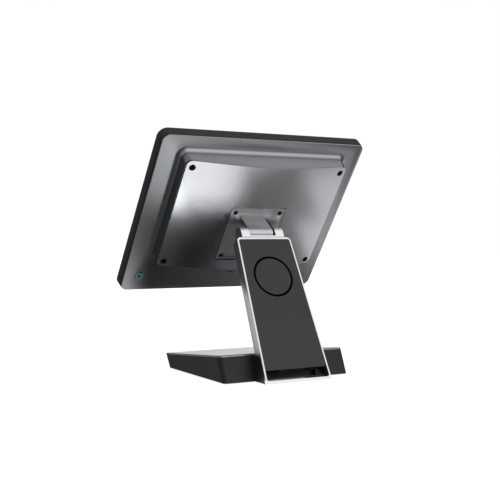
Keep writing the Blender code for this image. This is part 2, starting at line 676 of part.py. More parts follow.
def make_neck(neck):
    outer = trapezoid(0.0, NECK_LENGTH, 0, NECK_CORNER)
    ledge = NECK_COVER_THICKNESS + 3 * GAP
    mouth = trapezoid(SLOT_BOTTOM, NECK_LENGTH - 0.0033, NECK_RIM, 0.0035)
    deep = trapezoid(SLOT_BOTTOM + 0.001, 0.206, NECK_RIM + 0.0015, 0.003)
    frame = loft(
        "neck_frame",
        [
            at_depth(trapezoid(0.0020, NECK_LENGTH - 0.0020, 0.0020, NECK_CORNER - 0.002), NECK_DEPTH),
            at_depth(trapezoid(0.0006, NECK_LENGTH - 0.0006, 0.0006, NECK_CORNER - 0.0006), NECK_DEPTH - 0.0006),
            at_depth(outer, NECK_DEPTH - 0.0020),
            at_depth(outer, 0.0004),
            at_depth(trapezoid(0.0004, NECK_LENGTH - 0.0004, 0.0004, NECK_CORNER), 0),
            at_depth(mouth, 0),
            at_depth(mouth, ledge),
            at_depth(deep, ledge),
            at_depth(deep, NECK_DEPTH - 0.0022),
        ],
        neck,
        "silver_aluminium",
    )
    crown = [(NECK_LENGTH, 0.0025), (NECK_LENGTH + 0.02, 0.0025), (NECK_LENGTH + 0.02, 0.03), (0.2127, 0.03)]
    crown += arc((0.2127, 0.0025), 0.014, 90, 0, 10)[:-1]
    cut(frame, slab("crown_round", [crown], -0.07, 0.07, neck, along="X"))
    cut(frame, block("clevis_notch", (-0.0363, 0.1994, 0.0030), (0.0363, 0.25, 0.03), neck))
    entry = rounded(rectangle(0.014, 0.030, 0.034, 0.160), 0.005)
    cut(frame, slab("cable_entry", [entry], 0.010, 0.03, neck))
    cut(frame, floor_cut())
    cut(frame, foot_cut())
    panel_edge = trapezoid(SLOT_TOP, NECK_LENGTH - 0.0033 - GAP, NECK_RIM + GAP, 0.0032)
    hole = circle(RING_RADIUS + RING_GROOVE / 2, 0, RING_S, 48)
    cover = slab("neck_rear_cover", [panel_edge], GAP, GAP + NECK_COVER_THICKNESS, neck, "slate_plastic")
    cut(cover, slab("cap_recess", [hole], -0.001, 0.0021, neck))
    slab("round_cap", [circle(RING_RADIUS - RING_GROOVE / 2, 0, RING_S, 48)], 0.0004, 0.0018, neck,
         "slate_plastic")
    spine_edge = rounded(rectangle(0.048, 0.175, 0, 0.1105), 0.004, 3)
    spine_holes = [circle(0.0023, x, y, 16) for x, y in CLEVIS_SCREWS + NECK_BOLTS]
    slab("neck_spine", [spine_edge, *spine_holes], 0.0096, 0.0136, neck, "steel")


def floor_cut():
    return block("below_the_foot", (-0.08, REAR_LINE_Y - 0.08, -0.05), (0.08, REAR_LINE_Y + 0.03, 0.0008), None)


def neck_line(depth, height):
    """The world Y, at a height, of a plane parallel to the neck's rear face and that deep inside it."""
    return REAR_LINE_Y - math.tan(NECK_LEAN) * height - depth / math.cos(NECK_LEAN)


def foot_cut():
    """Room in the neck frame for the foot block, up to its level top."""
    top = FOOT_TOP + GAP
    outline = [(neck_line(0.0030, -0.02), -0.02), (neck_line(0.0030, top), top), (0.0, top), (0.0, -0.02)]
    return slab("foot_room", [outline], -0.07, 0.07, None, along="X")


def base_back(height):
    """The world Y of the base's sloping back at a height."""
    share = height / BASE_TOP_BACK[1]
    return BASE_FOOT_BACK + (BASE_TOP_BACK[0] - BASE_FOOT_BACK) * share


def make_foot_block(neck):
    outline = trapezoid(-0.03, 0.09, 0.0, 0)
    foot = slab("foot_block", [outline], 0.0, 0.08, neck, "base_plastic")
    low = 0.0008
    side = [(neck_line(0.0033, low), low), (neck_line(0.0033, FOOT_TOP), FOOT_TOP)]
    side += [(base_back(FOOT_TOP) + GAP, FOOT_TOP), (base_back(low) + GAP, low)]
    cut(foot, slab("foot_side_view", [side], -0.07, 0.07, None, along="X"), "INTERSECT")
    pocket = trapezoid(SLOT_BOTTOM + 0.001, 0.12, NECK_RIM + 0.0015, 0.003)
    cut(foot, slab("foot_pocket", [pocket], -0.01, 0.0139, neck))
    cut(foot, pins("foot_bolt_holes", NECK_BOLTS, 0.0023, 0.010, 0.024, neck, steps=16))
    for index, place in enumerate(NECK_BOLTS):
        screw(f"neck_bolt_{index + 1}", place, 0.0072, 0.0038, 0.0022, 0.0020, 0.0140, neck, "steel")


def make_cable_guide(neck):
    """The black insert in the cable slot: a low shelf, with a divider near one end."""
    shelf = block("cable_guide", (-0.0465, 0.0085, 0.0040), (0.0465, 0.0100, 0.0130), neck, "base_plastic")
    cut(shelf, block("slot_divider", (-0.0350, 0.0090, 0.0050), (-0.0335, 0.0200, 0.0130), neck), "UNION")


# ---- base ----
def top_plane(y, below=0.0):
    """The height of the base's sloping top at a world Y, less a depth below it."""
    slope = (BASE_TOP_BACK[1] - BASE_TOP_FRONT[1]) / (BASE_TOP_BACK[0] - BASE_TOP_FRONT[0])
    return BASE_TOP_FRONT[1] + (y - BASE_TOP_FRONT[0]) * slope - below


def base_ring(inset, below, radius, level=None):
    """A ring round the base, on its sloping top less a depth, or at a level height, drawn in by inset."""
    def ends(height):
        back = base_back(height)
        front_share = height / BASE_TOP_FRONT[1]
        front = BASE_FOOT_FRONT + (BASE_TOP_FRONT[0] - BASE_FOOT_FRONT) * front_share
        return front + inset, back - inset

    if level is not None:
        front, back = ends(level)
    else:
        front = ends(BASE_TOP_FRONT[1] - below)[0]
        back = ends(BASE_TOP_BACK[1] - below)[1]
    half = BASE_HALF - inset
    outline = rounded([(-half, front), (half, front), (half, back), (-half, back)], radius)
    return [(x, y, level if level is not None else top_plane(y, below)) for x, y in outline]


def make_base():
    wall = BASE_WALL
    radius = BASE_CORNER
    body = loft(
        "base_housing",
        [
            base_ring(0, BASE_PLATE + GAP, radius),
            base_ring(0, 0, radius, BASE_CLEARANCE + 0.0006),
            base_ring(0.0006, 0, radius, BASE_CLEARANCE),
            base_ring(wall, 0, radius - wall, BASE_CLEARANCE),
            base_ring(wall, BASE_PLATE + GAP + wall, radius - wall),
        ],
        None,
        "base_plastic",
    )
    plate = loft(
        "base_top_plate",
        [
            base_ring(0.0008, 0, radius),
            base_ring(0, 0.0008, radius),
            base_ring(0, BASE_PLATE, radius),
        ],
        None,
        "graphite_aluminium",
    )
    soften(plate, 0.0001, 1)
    make_rear_panel(body, radius)
    floor_half = BASE_HALF - wall - 0.0006
    front = BASE_FOOT_FRONT + wall + 0.0015
    back = BASE_FOOT_BACK - 0.0084
    plan = rounded([(-floor_half, front), (floor_half, front), (floor_half, back), (-floor_half, back)], 0.003, 3)
    slab("base_floor_plate", [plan], 0.0025, 0.0040, None, "steel")
    weight = rounded(rectangle(0.160, 0.110, 0, (front + back) / 2 - 0.010), 0.006, 3)
    slab("ballast_block", [weight], 0.0043, 0.0170, None, "cast_iron")
    for index, (x, y) in enumerate([(x, y) for y in FEET_Y for x in (-FEET_X, FEET_X)]):
        foot = turned(f"rubber_foot_{index + 1}", [(0, 0.0022), (0.0080, 0.0022), (0.0076, 0.0), (0, 0.0)], None,
                      "rubber")
        foot.location = (x, y, 0)


def make_rear_panel(body, radius):
    """The shallow cap that closes the base's sloping back, in a frame whose Z runs into the base."""
    lean = math.atan2(BASE_FOOT_BACK - BASE_TOP_BACK[0], BASE_TOP_BACK[1])
    face = empty("base_back_face", None, (0, BASE_FOOT_BACK, 0), math.pi / 2 + lean)
    cap = loft(
        "base_rear_panel",
        [
            base_ring(0, BASE_PLATE + GAP, radius),
            base_ring(0, 0, radius, BASE_CLEARANCE + 0.0006),
            base_ring(0.0006, 0, radius, BASE_CLEARANCE),
        ],
        None,
        "base_plastic",
    )
    inner = BASE_HALF - BASE_WALL
    cut(cap, block("base_ahead_of_the_cap", (-0.12, -0.02, REAR_CAP_DEPTH), (0.12, 0.20, 0.30), face))
    cut(cap, block("cap_hollow", (-inner, 0.0045, BASE_WALL), (inner, 0.0345, 0.02), face))
    cut(body, block("cap_room", (-0.12, -0.02, -0.01), (0.12, 0.08, REAR_CAP_DEPTH + REAR_CAP_SEAM), face))


def build():
    neck = empty("neck_frame_origin", None, (0, REAR_LINE_Y, 0), math.pi / 2 + NECK_LEAN)
    up = (-math.sin(NECK_LEAN), math.cos(NECK_LEAN))
    forward = (-math.cos(NECK_LEAN), -math.sin(NECK_LEAN))
    axis_y = REAR_LINE_Y + AXIS_S * up[0] + AXIS_DEPTH * forward[0]
    axis_z = AXIS_S * up[1] + AXIS_DEPTH * forward[1]
    pivot = empty("head_pivot", None, (0, axis_y, axis_z), math.pi / 2 - HEAD_TILT)
    head = empty("head_centre", pivot, (0, -AXIS_V, AXIS_RISE))
    make_screen(head)
    make_chassis(head)
    make_rear_cover(head)
    make_box_frame(head)
    make_back_plate(head)
    make_hinge_plate(head)
    make_mounting_bracket(head)
    make_electronics(head)
    make_ports(head)
    make_power_button(head)
    make_clevis(neck)
    make_shaft(neck)
    make_neck(neck)
    make_foot_block(neck)
    make_cable_guide(neck)
    make_base()


clear_scene()
PARTS = new_collection("pos_touchscreen_terminal")
CUTTERS = new_collection("cutters")
CUTTERS.hide_render = True
build()
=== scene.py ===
"""Looks of a countertop point-of-sale touchscreen terminal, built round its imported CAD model.

Metres, +Z up, the screen faces -Y. Head details are placed in the head's own frame: X across, Y up the screen
and Z from the rear face towards the screen. Neck details use X across, Y up the neck and Z from its rear face
forwards.
"""

import json
import math

import bmesh
import bpy
from mathutils import Matrix, Vector


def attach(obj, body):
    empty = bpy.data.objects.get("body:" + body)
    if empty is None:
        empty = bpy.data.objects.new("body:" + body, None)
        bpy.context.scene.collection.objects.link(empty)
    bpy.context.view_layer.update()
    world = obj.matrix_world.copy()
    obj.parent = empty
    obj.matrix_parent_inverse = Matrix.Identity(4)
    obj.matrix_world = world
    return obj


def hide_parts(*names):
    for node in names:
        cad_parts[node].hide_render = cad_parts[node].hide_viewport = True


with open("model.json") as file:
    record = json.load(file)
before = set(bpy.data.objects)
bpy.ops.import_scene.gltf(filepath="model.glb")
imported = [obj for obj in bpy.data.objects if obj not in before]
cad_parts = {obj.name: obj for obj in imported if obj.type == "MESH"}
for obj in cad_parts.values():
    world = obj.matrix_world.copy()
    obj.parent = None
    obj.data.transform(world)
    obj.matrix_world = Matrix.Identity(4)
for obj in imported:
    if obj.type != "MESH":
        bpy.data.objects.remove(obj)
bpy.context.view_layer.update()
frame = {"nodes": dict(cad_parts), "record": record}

# ---- the head's and the neck's frames ----
JOINTS = {joint["name"]: joint for joint in frame["record"]["behaviour"]["joints"]}
PIVOT = Vector(JOINTS["head_tilt"]["pos_m"])
FORWARD = Vector(JOINTS["power_button_press"]["axis"])
PIVOT_UP = 0.0088
PIVOT_BEHIND = 0.05495
HEAD_TURN = Matrix((Vector((1, 0, 0)), FORWARD.cross(Vector((1, 0, 0))), FORWARD)).transposed()
HEAD = Matrix.Translation(PIVOT + HEAD_TURN @ Vector((0, -PIVOT_UP, PIVOT_BEHIND))) @ HEAD_TURN.to_4x4()
NECK_LEAN = math.radians(26.7)
NECK_FOOT_Y = 0.1309
NECK = Matrix.Translation((0, NECK_FOOT_Y, 0)) @ Matrix.Rotation(math.pi / 2 + NECK_LEAN, 4, "X")


# ---- material nodes ----
class Paint:
    """A Principled material, and the few nodes that give it fine detail."""

    def __init__(self, name, colour, metallic=0.0, roughness=0.5, **sockets):
        self.material = bpy.data.materials.new(name)
        self.material.use_nodes = True
        self.tree = self.material.node_tree
        self.shader = self.tree.nodes["Principled BSDF"]
        self.colour = colour
        self.set(self.shader, **{"Base Color": (*colour, 1), "Metallic": metallic, "Roughness": roughness})
        self.set(self.shader, **{name.replace("_", " "): value for name, value in sockets.items()})
        self.roughness = roughness
        self.normal = None

    def set(self, node, **values):
        for name, value in values.items():
            node.inputs[name].default_value = value

    def node(self, kind, **values):
        made = self.tree.nodes.new(kind)
        self.set(made, **values)
        return made

    def link(self, start, end):
        self.tree.links.new(start, end)

    def place(self, stretch=(1, 1, 1), turn=(0, 0, 0)):
        """Object coordinates, turned and then stretched."""
        coordinates = self.node("ShaderNodeTexCoord")
        turned = self.node("ShaderNodeMapping")
        turned.vector_type = "TEXTURE"
        self.set(turned, Rotation=turn)
        stretched = self.node("ShaderNodeMapping", Scale=stretch)
        self.link(coordinates.outputs["Object"], turned.inputs["Vector"])
        self.link(turned.outputs["Vector"], stretched.inputs["Vector"])
        return stretched.outputs["Vector"]

    def noise(self, scale, detail=2.0, vector=None, rough=0.5):
        made = self.node("ShaderNodeTexNoise", Scale=scale, Detail=detail, Roughness=rough)
        self.link(vector or self.place(), made.inputs["Vector"])
        return made.outputs["Fac"]

    def spread(self, value, low, high, start=0.3, end=0.7):
        """Maps a noise value to a range."""
        made = self.node("ShaderNodeMapRange")
        self.set(made, **{"From Min": start, "From Max": end, "To Min": low, "To Max": high})
        self.link(value, made.inputs["Value"])
        return made.outputs["Result"]

    def rough_by(self, value, amount):
        low, high = self.roughness - amount, self.roughness + amount
        self.link(self.spread(value, low, high), self.shader.inputs["Roughness"])

    def tint_by(self, value, other, start=0.35, end=0.65):
        """Goes from the paint's colour to another as a value rises."""
        ramp = self.node("ShaderNodeValToRGB")
        ramp.color_ramp.elements[0].position = start
        ramp.color_ramp.elements[0].color = (*self.colour, 1)
        ramp.color_ramp.elements[1].position = end
        ramp.color_ramp.elements[1].color = (*other, 1)
        self.link(value, ramp.inputs["Fac"])
        self.link(ramp.outputs["Color"], self.shader.inputs["Base Color"])

    def bump_by(self, value, depth, strength=1.0):
        """Adds relief to whatever relief is there; depth is in metres."""
        made = self.node("ShaderNodeBump", Strength=strength, Distance=depth)
        self.link(value, made.inputs["Height"])
        if self.normal:
            self.link(self.normal, made.inputs["Normal"])
        self.normal = made.outputs["Normal"]
        self.link(self.normal, self.shader.inputs["Normal"])


def shade(colour, share):
    return tuple(channel * share for channel in colour)


HEAD_ANGLES = HEAD.to_euler()[:]


def satin_metal(name, colour, roughness):
    """Bead-blasted, anodised sheet: a fine even grain, with slow changes in gloss."""
    paint = Paint(name, colour, 1.0, roughness)
    paint.rough_by(paint.noise(18, 3), 0.02)
    paint.tint_by(paint.noise(9, 2), shade(colour, 0.96))
    paint.bump_by(paint.noise(6000, 1), 0.000004, 0.3)
    return paint.material


BRUSH_LINES = (30, 2600, 2600)


def brushed_metal(name, colour, roughness, turn):
    """Sheet with a fine brushing along its own X."""
    paint = Paint(name, colour, 1.0, roughness)
    strokes = paint.noise(1, 2, paint.place(BRUSH_LINES, turn), 0.5)
    paint.rough_by(strokes, 0.03)
    paint.tint_by(paint.noise(1, 2, paint.place(shade(BRUSH_LINES, 0.4), turn), 0.5), shade(colour, 0.94))
    paint.bump_by(strokes, 0.000002, 0.35)
    return paint.material


def moulded_plastic(name, colour, roughness, grain=1400, depth=0.00002, strength=0.5, gloss=0.5):
    """Moulded plastic with a spark-eroded grain and faint handling marks."""
    return grained_plastic(name, colour, roughness, grain, depth, strength, gloss).material


def grained_plastic(name, colour, roughness, grain, depth, strength, gloss):
    """The paint behind every moulded plastic here, for those that need more detail."""
    paint = Paint(name, colour, 0.0, roughness, Specular_IOR_Level=gloss)
    paint.rough_by(paint.noise(26, 4), 0.05)
    paint.tint_by(paint.noise(12, 3), tuple(c * 1.12 + 0.001 for c in colour))
    cells = paint.node("ShaderNodeTexVoronoi", Scale=grain)
    paint.link(paint.place(), cells.inputs["Vector"])
    paint.bump_by(cells.outputs["Distance"], depth, strength)
    return paint


RING_UP = 0.1629
RECESS_RADIUS = 0.0321
# Roughness, grain scale, grain depth, grain strength and gloss of the neck's plastic.
NECK_GRAIN = (0.38, 2200, 0.00001, 0.35, 0.3)


def neck_plastic_with_painted_shade(name, colour):
    """The neck cover's smooth plastic, with painted shade darkening the groove round the cap."""
    paint = grained_plastic(name, colour, *NECK_GRAIN)
    plain = paint.shader.inputs["Base Color"].links[0].from_socket
    coordinates = paint.node("ShaderNodeTexCoord")
    reach = paint.node("ShaderNodeVectorMath")
    reach.operation = "DISTANCE"
    reach.inputs[1].default_value = NECK @ Vector((0, RING_UP, 0))
    paint.link(coordinates.outputs["Object"], reach.inputs[0])
    # Inside the recess radius the colour is painted near black and the gloss is lowered: painted shade in the
    # groove round the cap.
    outside_painted_shade = paint.spread(reach.outputs["Value"], 0, 1, RECESS_RADIUS, RECESS_RADIUS + 0.0002)
    painted_shade_mix = paint.node("ShaderNodeMix")
    painted_shade_mix.data_type = "RGBA"
    painted_shade_mix.inputs[6].default_value = (*shade(colour, 0.08), 1)
    paint.link(outside_painted_shade, painted_shade_mix.inputs[0])
    paint.link(plain, painted_shade_mix.inputs[7])
    paint.link(painted_shade_mix.outputs[2], paint.shader.inputs["Base Color"])
    painted_shade_gloss = paint.spread(outside_painted_shade, 0.0, 0.3, 0, 1)
    paint.link(painted_shade_gloss, paint.shader.inputs["Specular IOR Level"])
    return paint.material


def plated_steel(name, colour, roughness):
    paint = Paint(name, colour, 1.0, roughness)
    paint.rough_by(paint.noise(240, 4), 0.08)
    paint.tint_by(paint.noise(60, 3), shade(colour, 0.8))
    paint.bump_by(paint.noise(1800, 2), 0.00001, 0.4)
    return paint.material


PICTURE_HALF = (0.1525, 0.1145)


def cover_glass(name):
    """Black-backed touch glass: the picture area inside its border is a shade lighter and bluer."""
    border = (0.0035, 0.0036, 0.004)
    picture = (0.010, 0.011, 0.0135)
    blur = 0.0001
    paint = Paint(name, border, 0.0, 0.035, IOR=1.52, Coat_Weight=0.6, Coat_Roughness=0.02)
    coordinates = paint.node("ShaderNodeTexCoord")
    into_head = HEAD.inverted()
    edges = []
    for row, reach in enumerate(PICTURE_HALF):
        across = paint.node("ShaderNodeVectorMath")
        across.operation = "DOT_PRODUCT"
        across.inputs[1].default_value = into_head[row][:3]
        paint.link(coordinates.outputs["Object"], across.inputs[0])
        centred = paint.node("ShaderNodeMath")
        centred.operation = "ADD"
        centred.inputs[1].default_value = into_head[row][3]
        paint.link(across.outputs["Value"], centred.inputs[0])
        away = paint.node("ShaderNodeMath")
        away.operation = "ABSOLUTE"
        paint.link(centred.outputs[0], away.inputs[0])
        edges.append(paint.spread(away.outputs[0], 1, 0, reach - blur, reach + blur))
    both = paint.node("ShaderNodeMath")
    both.operation = "MINIMUM"
    paint.link(edges[0], both.inputs[0])
    paint.link(edges[1], both.inputs[1])
    paint.tint_by(both.outputs[0], picture, 0.4, 0.6)
    paint.rough_by(paint.noise(30, 5), 0.02)
    paint.bump_by(paint.noise(14, 1), 0.00002, 0.15)
    return paint.material


def lens_plastic(name, colour, glow=0.0):
    """Clear-coated plastic, which can be given a faint painted glow, with no lamp behind it."""
    # Any emission here is a painted glow, not a lamp.
    light = {"Emission_Color": (*colour, 1), "Emission_Strength": glow}
    paint = Paint(name, colour, 0.0, 0.28, Coat_Weight=0.5, Coat_Roughness=0.08, **light)
    paint.rough_by(paint.noise(300, 3), 0.05)
    paint.tint_by(paint.noise(90, 2), shade(colour, 0.85))
    paint.bump_by(paint.noise(900, 1), 0.00001, 0.25)
    return paint.material


def rough_rubber(name, colour):
    paint = Paint(name, colour, 0.0, 0.85)
    paint.rough_by(paint.noise(60, 4), 0.08)
    paint.tint_by(paint.noise(30, 3), tuple(c * 1.5 for c in colour))
    paint.bump_by(paint.noise(1500, 3), 0.00004, 0.6)
    return paint.material


def cast_metal(name, colour):
    paint = Paint(name, colour, 0.7, 0.7)
    paint.rough_by(paint.noise(80, 4), 0.12)
    paint.tint_by(paint.noise(40, 5), shade(colour, 0.6))
    paint.bump_by(paint.noise(500, 4), 0.0002, 0.7)
    return paint.material


def board_mask(name, colour):
    """Solder mask with tracks under it."""
    paint = Paint(name, colour, 0.0, 0.4, Coat_Weight=0.3, Coat_Roughness=0.2)
    tracks = paint.node("ShaderNodeTexBrick", Scale=240)
    paint.link(paint.place(turn=HEAD_ANGLES), tracks.inputs["Vector"])
    paint.tint_by(tracks.outputs["Fac"], shade(colour, 1.7), 0.2, 0.8)
    paint.rough_by(paint.noise(50, 3), 0.05)
    paint.bump_by(tracks.outputs["Fac"], 0.00003, 0.6)
    return paint.material


SLATE = (0.026, 0.0285, 0.032)
LOOKS = {
    "black_plastic": moulded_plastic("bezel_plastic", (0.045, 0.045, 0.046), 0.5, 1800, 0.00002, 0.5, 0.12),
    "screen_glass": cover_glass("touch_glass_surface"),
    "panel": moulded_plastic("panel_frame", (0.06, 0.06, 0.065), 0.4),
    "satin_metal": satin_metal("satin_cover_metal", (0.30, 0.31, 0.32), 0.32),
    "heat_sink_aluminium": plated_steel("heat_sink_metal", (0.55, 0.55, 0.56), 0.45),
    "brushed_aluminium": brushed_metal("brushed_plate_metal", (0.43, 0.44, 0.455), 0.22, HEAD_ANGLES),
    "hinge_metal": satin_metal("hinge_plate_metal", (0.46, 0.465, 0.475), 0.36),
    "silver_aluminium": satin_metal("silver_metal", (0.66, 0.66, 0.67), 0.25),
    "graphite_aluminium": satin_metal("base_top_metal", (0.22, 0.222, 0.226), 0.20),
    "port_metal": plated_steel("port_shell_metal", (0.40, 0.40, 0.41), 0.38),
    "button_collar": plated_steel("button_collar_metal", (0.30, 0.305, 0.32), 0.32),
    "slate_plastic": moulded_plastic("neck_cap_plastic", SLATE, *NECK_GRAIN),
    # The neck cover's look carries painted shade in the groove round the cap.
    "neck_cover": neck_plastic_with_painted_shade("neck_cover_plastic", SLATE),
    "base_plastic": moulded_plastic(
        "base_black_plastic", (0.008, 0.0083, 0.0087), 0.45, 1600, 0.00002, 0.5, 0.3
    ),
    "steel": plated_steel("zinc_steel", (0.50, 0.50, 0.51), 0.36),
    "black_steel": plated_steel("black_oxide_steel", (0.020, 0.020, 0.021), 0.42),
    "circuit_board": board_mask("board_green", (0.02, 0.14, 0.06)),
    "cast_iron": cast_metal("iron_ballast", (0.08, 0.08, 0.085)),
    "rubber": rough_rubber("foot_rubber", (0.018, 0.018, 0.018)),
    # The button lens and its printed symbol glow faintly: painted glow, with no lamp behind them.
    "button_green": lens_plastic("button_lens_painted_glow", (0.020, 0.075, 0.060), 0.25),
    "symbol_teal": lens_plastic("symbol_teal", (0.14, 0.36, 0.30), 0.35),
    "gold_contacts": plated_steel("gold_contacts", (0.75, 0.55, 0.25), 0.3),
}
SLOTS = {entry["node"]: entry["material_slot"] for entry in frame["record"]["subparts"]}
BODY_OF = {node: body for body, nodes in frame["record"]["behaviour"]["bodies"].items() for node in nodes}


# ---- pieces made from the frame's own solids ----
SHARP_ANGLE = math.radians(35)
ROUNDED_ANGLE = math.radians(40)
FLAT_ANGLE = math.radians(0.4)
WELD_DISTANCE = 2e-6


def smooth(mesh):
    mesh.shade_smooth()
    mesh.set_sharp_from_angle(angle=SHARP_ANGLE)


def refined(node, width):
    """A cleaned copy of a CAD solid with its hard edges rounded, which stands for it."""
    source = frame["nodes"][node]
    shape = bmesh.new()
    shape.from_mesh(source.data)
    shape.transform(source.matrix_world)
    bmesh.ops.remove_doubles(shape, verts=shape.verts, dist=WELD_DISTANCE)
    bmesh.ops.dissolve_limit(shape, angle_limit=FLAT_ANGLE, verts=shape.verts, edges=shape.edges)
    mesh = bpy.data.meshes.new(node + "_shape")
    shape.to_mesh(mesh)
    shape.free()
    # The neck's rear cover takes the look with painted shade in its groove instead of its slot's plain plastic.
    mesh.materials.append(LOOKS["neck_cover" if node == "neck_rear_cover" else SLOTS[node]])
    smooth(mesh)
    piece = bpy.data.objects.new(node + "_finished", mesh)
    bpy.context.scene.collection.objects.link(piece)
    edge = piece.modifiers.new("rounded_edges", "BEVEL")
    edge.width = width
    edge.segments = 2
    edge.limit_method = "ANGLE"
    edge.angle_limit = ROUNDED_ANGLE
    edge.harden_normals = True
    edge.use_clamp_overlap = True
    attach(piece, BODY_OF[node])
    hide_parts(node)


# The width of each node's rounded edges.
REFINED = {
    "front_bezel": 0.0004,
    "rear_cover": 0.00025,
    "box_frame": 0.0002,
    "back_plate": 0.00045,
    "hinge_plate": 0.0004,
    "hinge_clevis": 0.0006,
    "neck_frame": 0.0004,
    "neck_rear_cover": 0.0004,
    "round_cap": 0.0002,
    "foot_block": 0.0004,
    "cable_guide": 0.0002,
    "base_housing": 0.0004,
    "base_rear_panel": 0.0002,
    "base_top_plate": 0.0005,
    "power_button_ring": 0.00015,
    "touch_glass": 0.0002,
}


def dress_frame():
    for node, width in REFINED.items():
        refined(node, width)
    for node, thing in frame["nodes"].items():
        if node not in REFINED:
            thing.data.materials.clear()
            thing.data.materials.append(LOOKS[SLOTS[node]])


# ---- pieces made here ----
def finished(name, shape, node, look):
    """Makes a piece of a shape given in world metres, which rides with a node's body."""
    bmesh.ops.recalc_face_normals(shape, faces=shape.faces)
    mesh = bpy.data.meshes.new(name)
    shape.to_mesh(mesh)
    shape.free()
    mesh.materials.append(LOOKS[look])
    smooth(mesh)
    piece = bpy.data.objects.new(name, mesh)
    bpy.context.scene.collection.objects.link(piece)
    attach(piece, BODY_OF[node])
    return piece


def loft(rings):
    """Skins rings of points, all of one length, from the first to the last, and closes both ends."""
    shape = bmesh.new()
    loops = [[shape.verts.new(point) for point in ring] for ring in rings]
    for lower, upper in zip(loops, loops[1:]):
        for index in range(len(lower)):
            after = (index + 1) % len(lower)
            shape.faces.new((lower[index], lower[after], upper[after], upper[index]))
    shape.faces.new(loops[0][::-1])
    shape.faces.new(loops[-1])
    return shape


def turns(steps):
    return [2 * math.pi * step / steps for step in range(steps)]


def round_ring(place, radius, level):
    """A circle of points round a place in the head's frame."""
    x, y = place
    angles = turns(SCREW_STEPS)
    return [HEAD @ Vector((x + radius * math.cos(a), y + radius * math.sin(a), level)) for a in angles]


def hexagon_ring(place, apothem, level):
    """Points round a hexagon, as many as round a circle."""
    x, y = place
    ring = []
    for angle in turns(SCREW_STEPS):
        off_centre = (angle + math.pi / 6) % (math.pi / 3) - math.pi / 6
        reach = apothem / math.cos(off_centre)
        ring.append(HEAD @ Vector((x + reach * math.cos(angle), y + reach * math.sin(angle), level)))
    return ring


def socket_screw(node, place, top, head_radius, head_height, shank_radius, length):
    """A screw with a round head and a hexagon socket, which stands for a plainer one."""
    edge = head_radius * 0.08
    socket = head_radius * 0.42
    depth = top + head_height * 0.6
    rings = [
        hexagon_ring(place, socket * 0.5, depth + 0.0002),
        hexagon_ring(place, socket, depth),
        hexagon_ring(place, socket, top + edge),
        round_ring(place, head_radius * 0.62, top),
        round_ring(place, head_radius - edge, top),
        round_ring(place, head_radius, top + edge),
        round_ring(place, head_radius, top + head_height),
        round_ring(place, shank_radius, top + head_height),
        round_ring(place, shank_radius, top + length - shank_radius * 0.4),
        round_ring(place, shank_radius * 0.6, top + length),
    ]
    piece = finished(node + "_finished", loft(rings), node, SLOTS[node])
    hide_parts(node)


def round_size(node):
    """A round node's centre and radius in the head's frame, and where it starts and ends along its Z."""
    thing = frame["nodes"][node]
    points = [HEAD.inverted() @ (thing.matrix_world @ vertex.co) for vertex in thing.data.vertices]
    low = [min(point[axis] for point in points) for axis in range(3)]
    high = [max(point[axis] for point in points) for axis in range(3)]
    centre = ((low[0] + high[0]) / 2, (low[1] + high[1]) / 2)
    return centre, (high[0] - low[0]) / 2, low[2], high[2]


SCREW_STEPS = 36
SCREWS_IN_EACH_FAMILY = 4
# Head height and shank radius.
SCREWS = {
    "back_plate_screw": (0.0030, 0.0015),
    "hinge_plate_screw": (0.0010, 0.0018),
}


def make_screws():
    for family, (head_height, shank_radius) in SCREWS.items():
        for index in range(SCREWS_IN_EACH_FAMILY):
            node = f"{family}_{index + 1}"
            place, radius, top, end = round_size(node)
            socket_screw(node, place, top, radius, head_height, shank_radius, end - top)


SYMBOL_SUNK = 0.00003
SYMBOL_PROUD = 0.00006
SYMBOL_SOFTENED = 0.00002
SYMBOL_GAP_ENDS = (112, 428)
SYMBOL_STEPS = 40
SYMBOL_EDGE = 0.0001


def arc_band(centre, inner, outer, low, high):
    """The raised, open ring of the power symbol, as sections across it."""
    start, end = SYMBOL_GAP_ENDS
    rings = []
    for step in range(SYMBOL_STEPS + 1):
        angle = math.radians(start + (end - start) * step / SYMBOL_STEPS)
        x, y = math.cos(angle), math.sin(angle)
        corners = ((inner, low), (inner, high + SYMBOL_SOFTENED), (inner + SYMBOL_EDGE, high),
                   (outer - SYMBOL_EDGE, high), (outer, high + SYMBOL_SOFTENED), (outer, low))
        rings.append([HEAD @ Vector((centre[0] + r * x, centre[1] + r * y, z)) for r, z in corners])
    return rings


def make_power_symbol():
    """The ring and bar printed in relief on the power button."""
    centre, radius, face, _ = round_size("power_button")
    low, high = face + SYMBOL_SUNK, face - SYMBOL_PROUD
    ring = arc_band(centre, radius * 0.66, radius * 0.94, low, high)
    finished("power_symbol_ring", loft(ring), "power_button", "symbol_teal")
    half = radius * 0.10
    bar = []
    for y in (centre[1] + radius * 0.12, centre[1] + radius * 0.94):
        corners = ((-half, low), (-half, high + SYMBOL_SOFTENED), (-half * 0.8, high), (half * 0.8, high),
                   (half, high + SYMBOL_SOFTENED), (half, low))
        bar.append([HEAD @ Vector((centre[0] + x, y, z)) for x, z in corners])
    finished("power_symbol_bar", loft(bar), "power_button", "symbol_teal")


def slab_between(low, high, chamfer):
    """A thin block in the head's frame with the edges of its outer end taken off."""
    rings = []
    for y, inset in ((low[1], chamfer), (low[1] + chamfer, 0), (high[1], 0)):
        corners = ((low[0] + inset, low[2] + inset), (high[0] - inset, low[2] + inset),
                   (high[0] - inset, high[2] - inset), (low[0] + inset, high[2] - inset))
        rings.append([HEAD @ Vector((x, y, z)) for x, z in corners])
    return loft(rings)


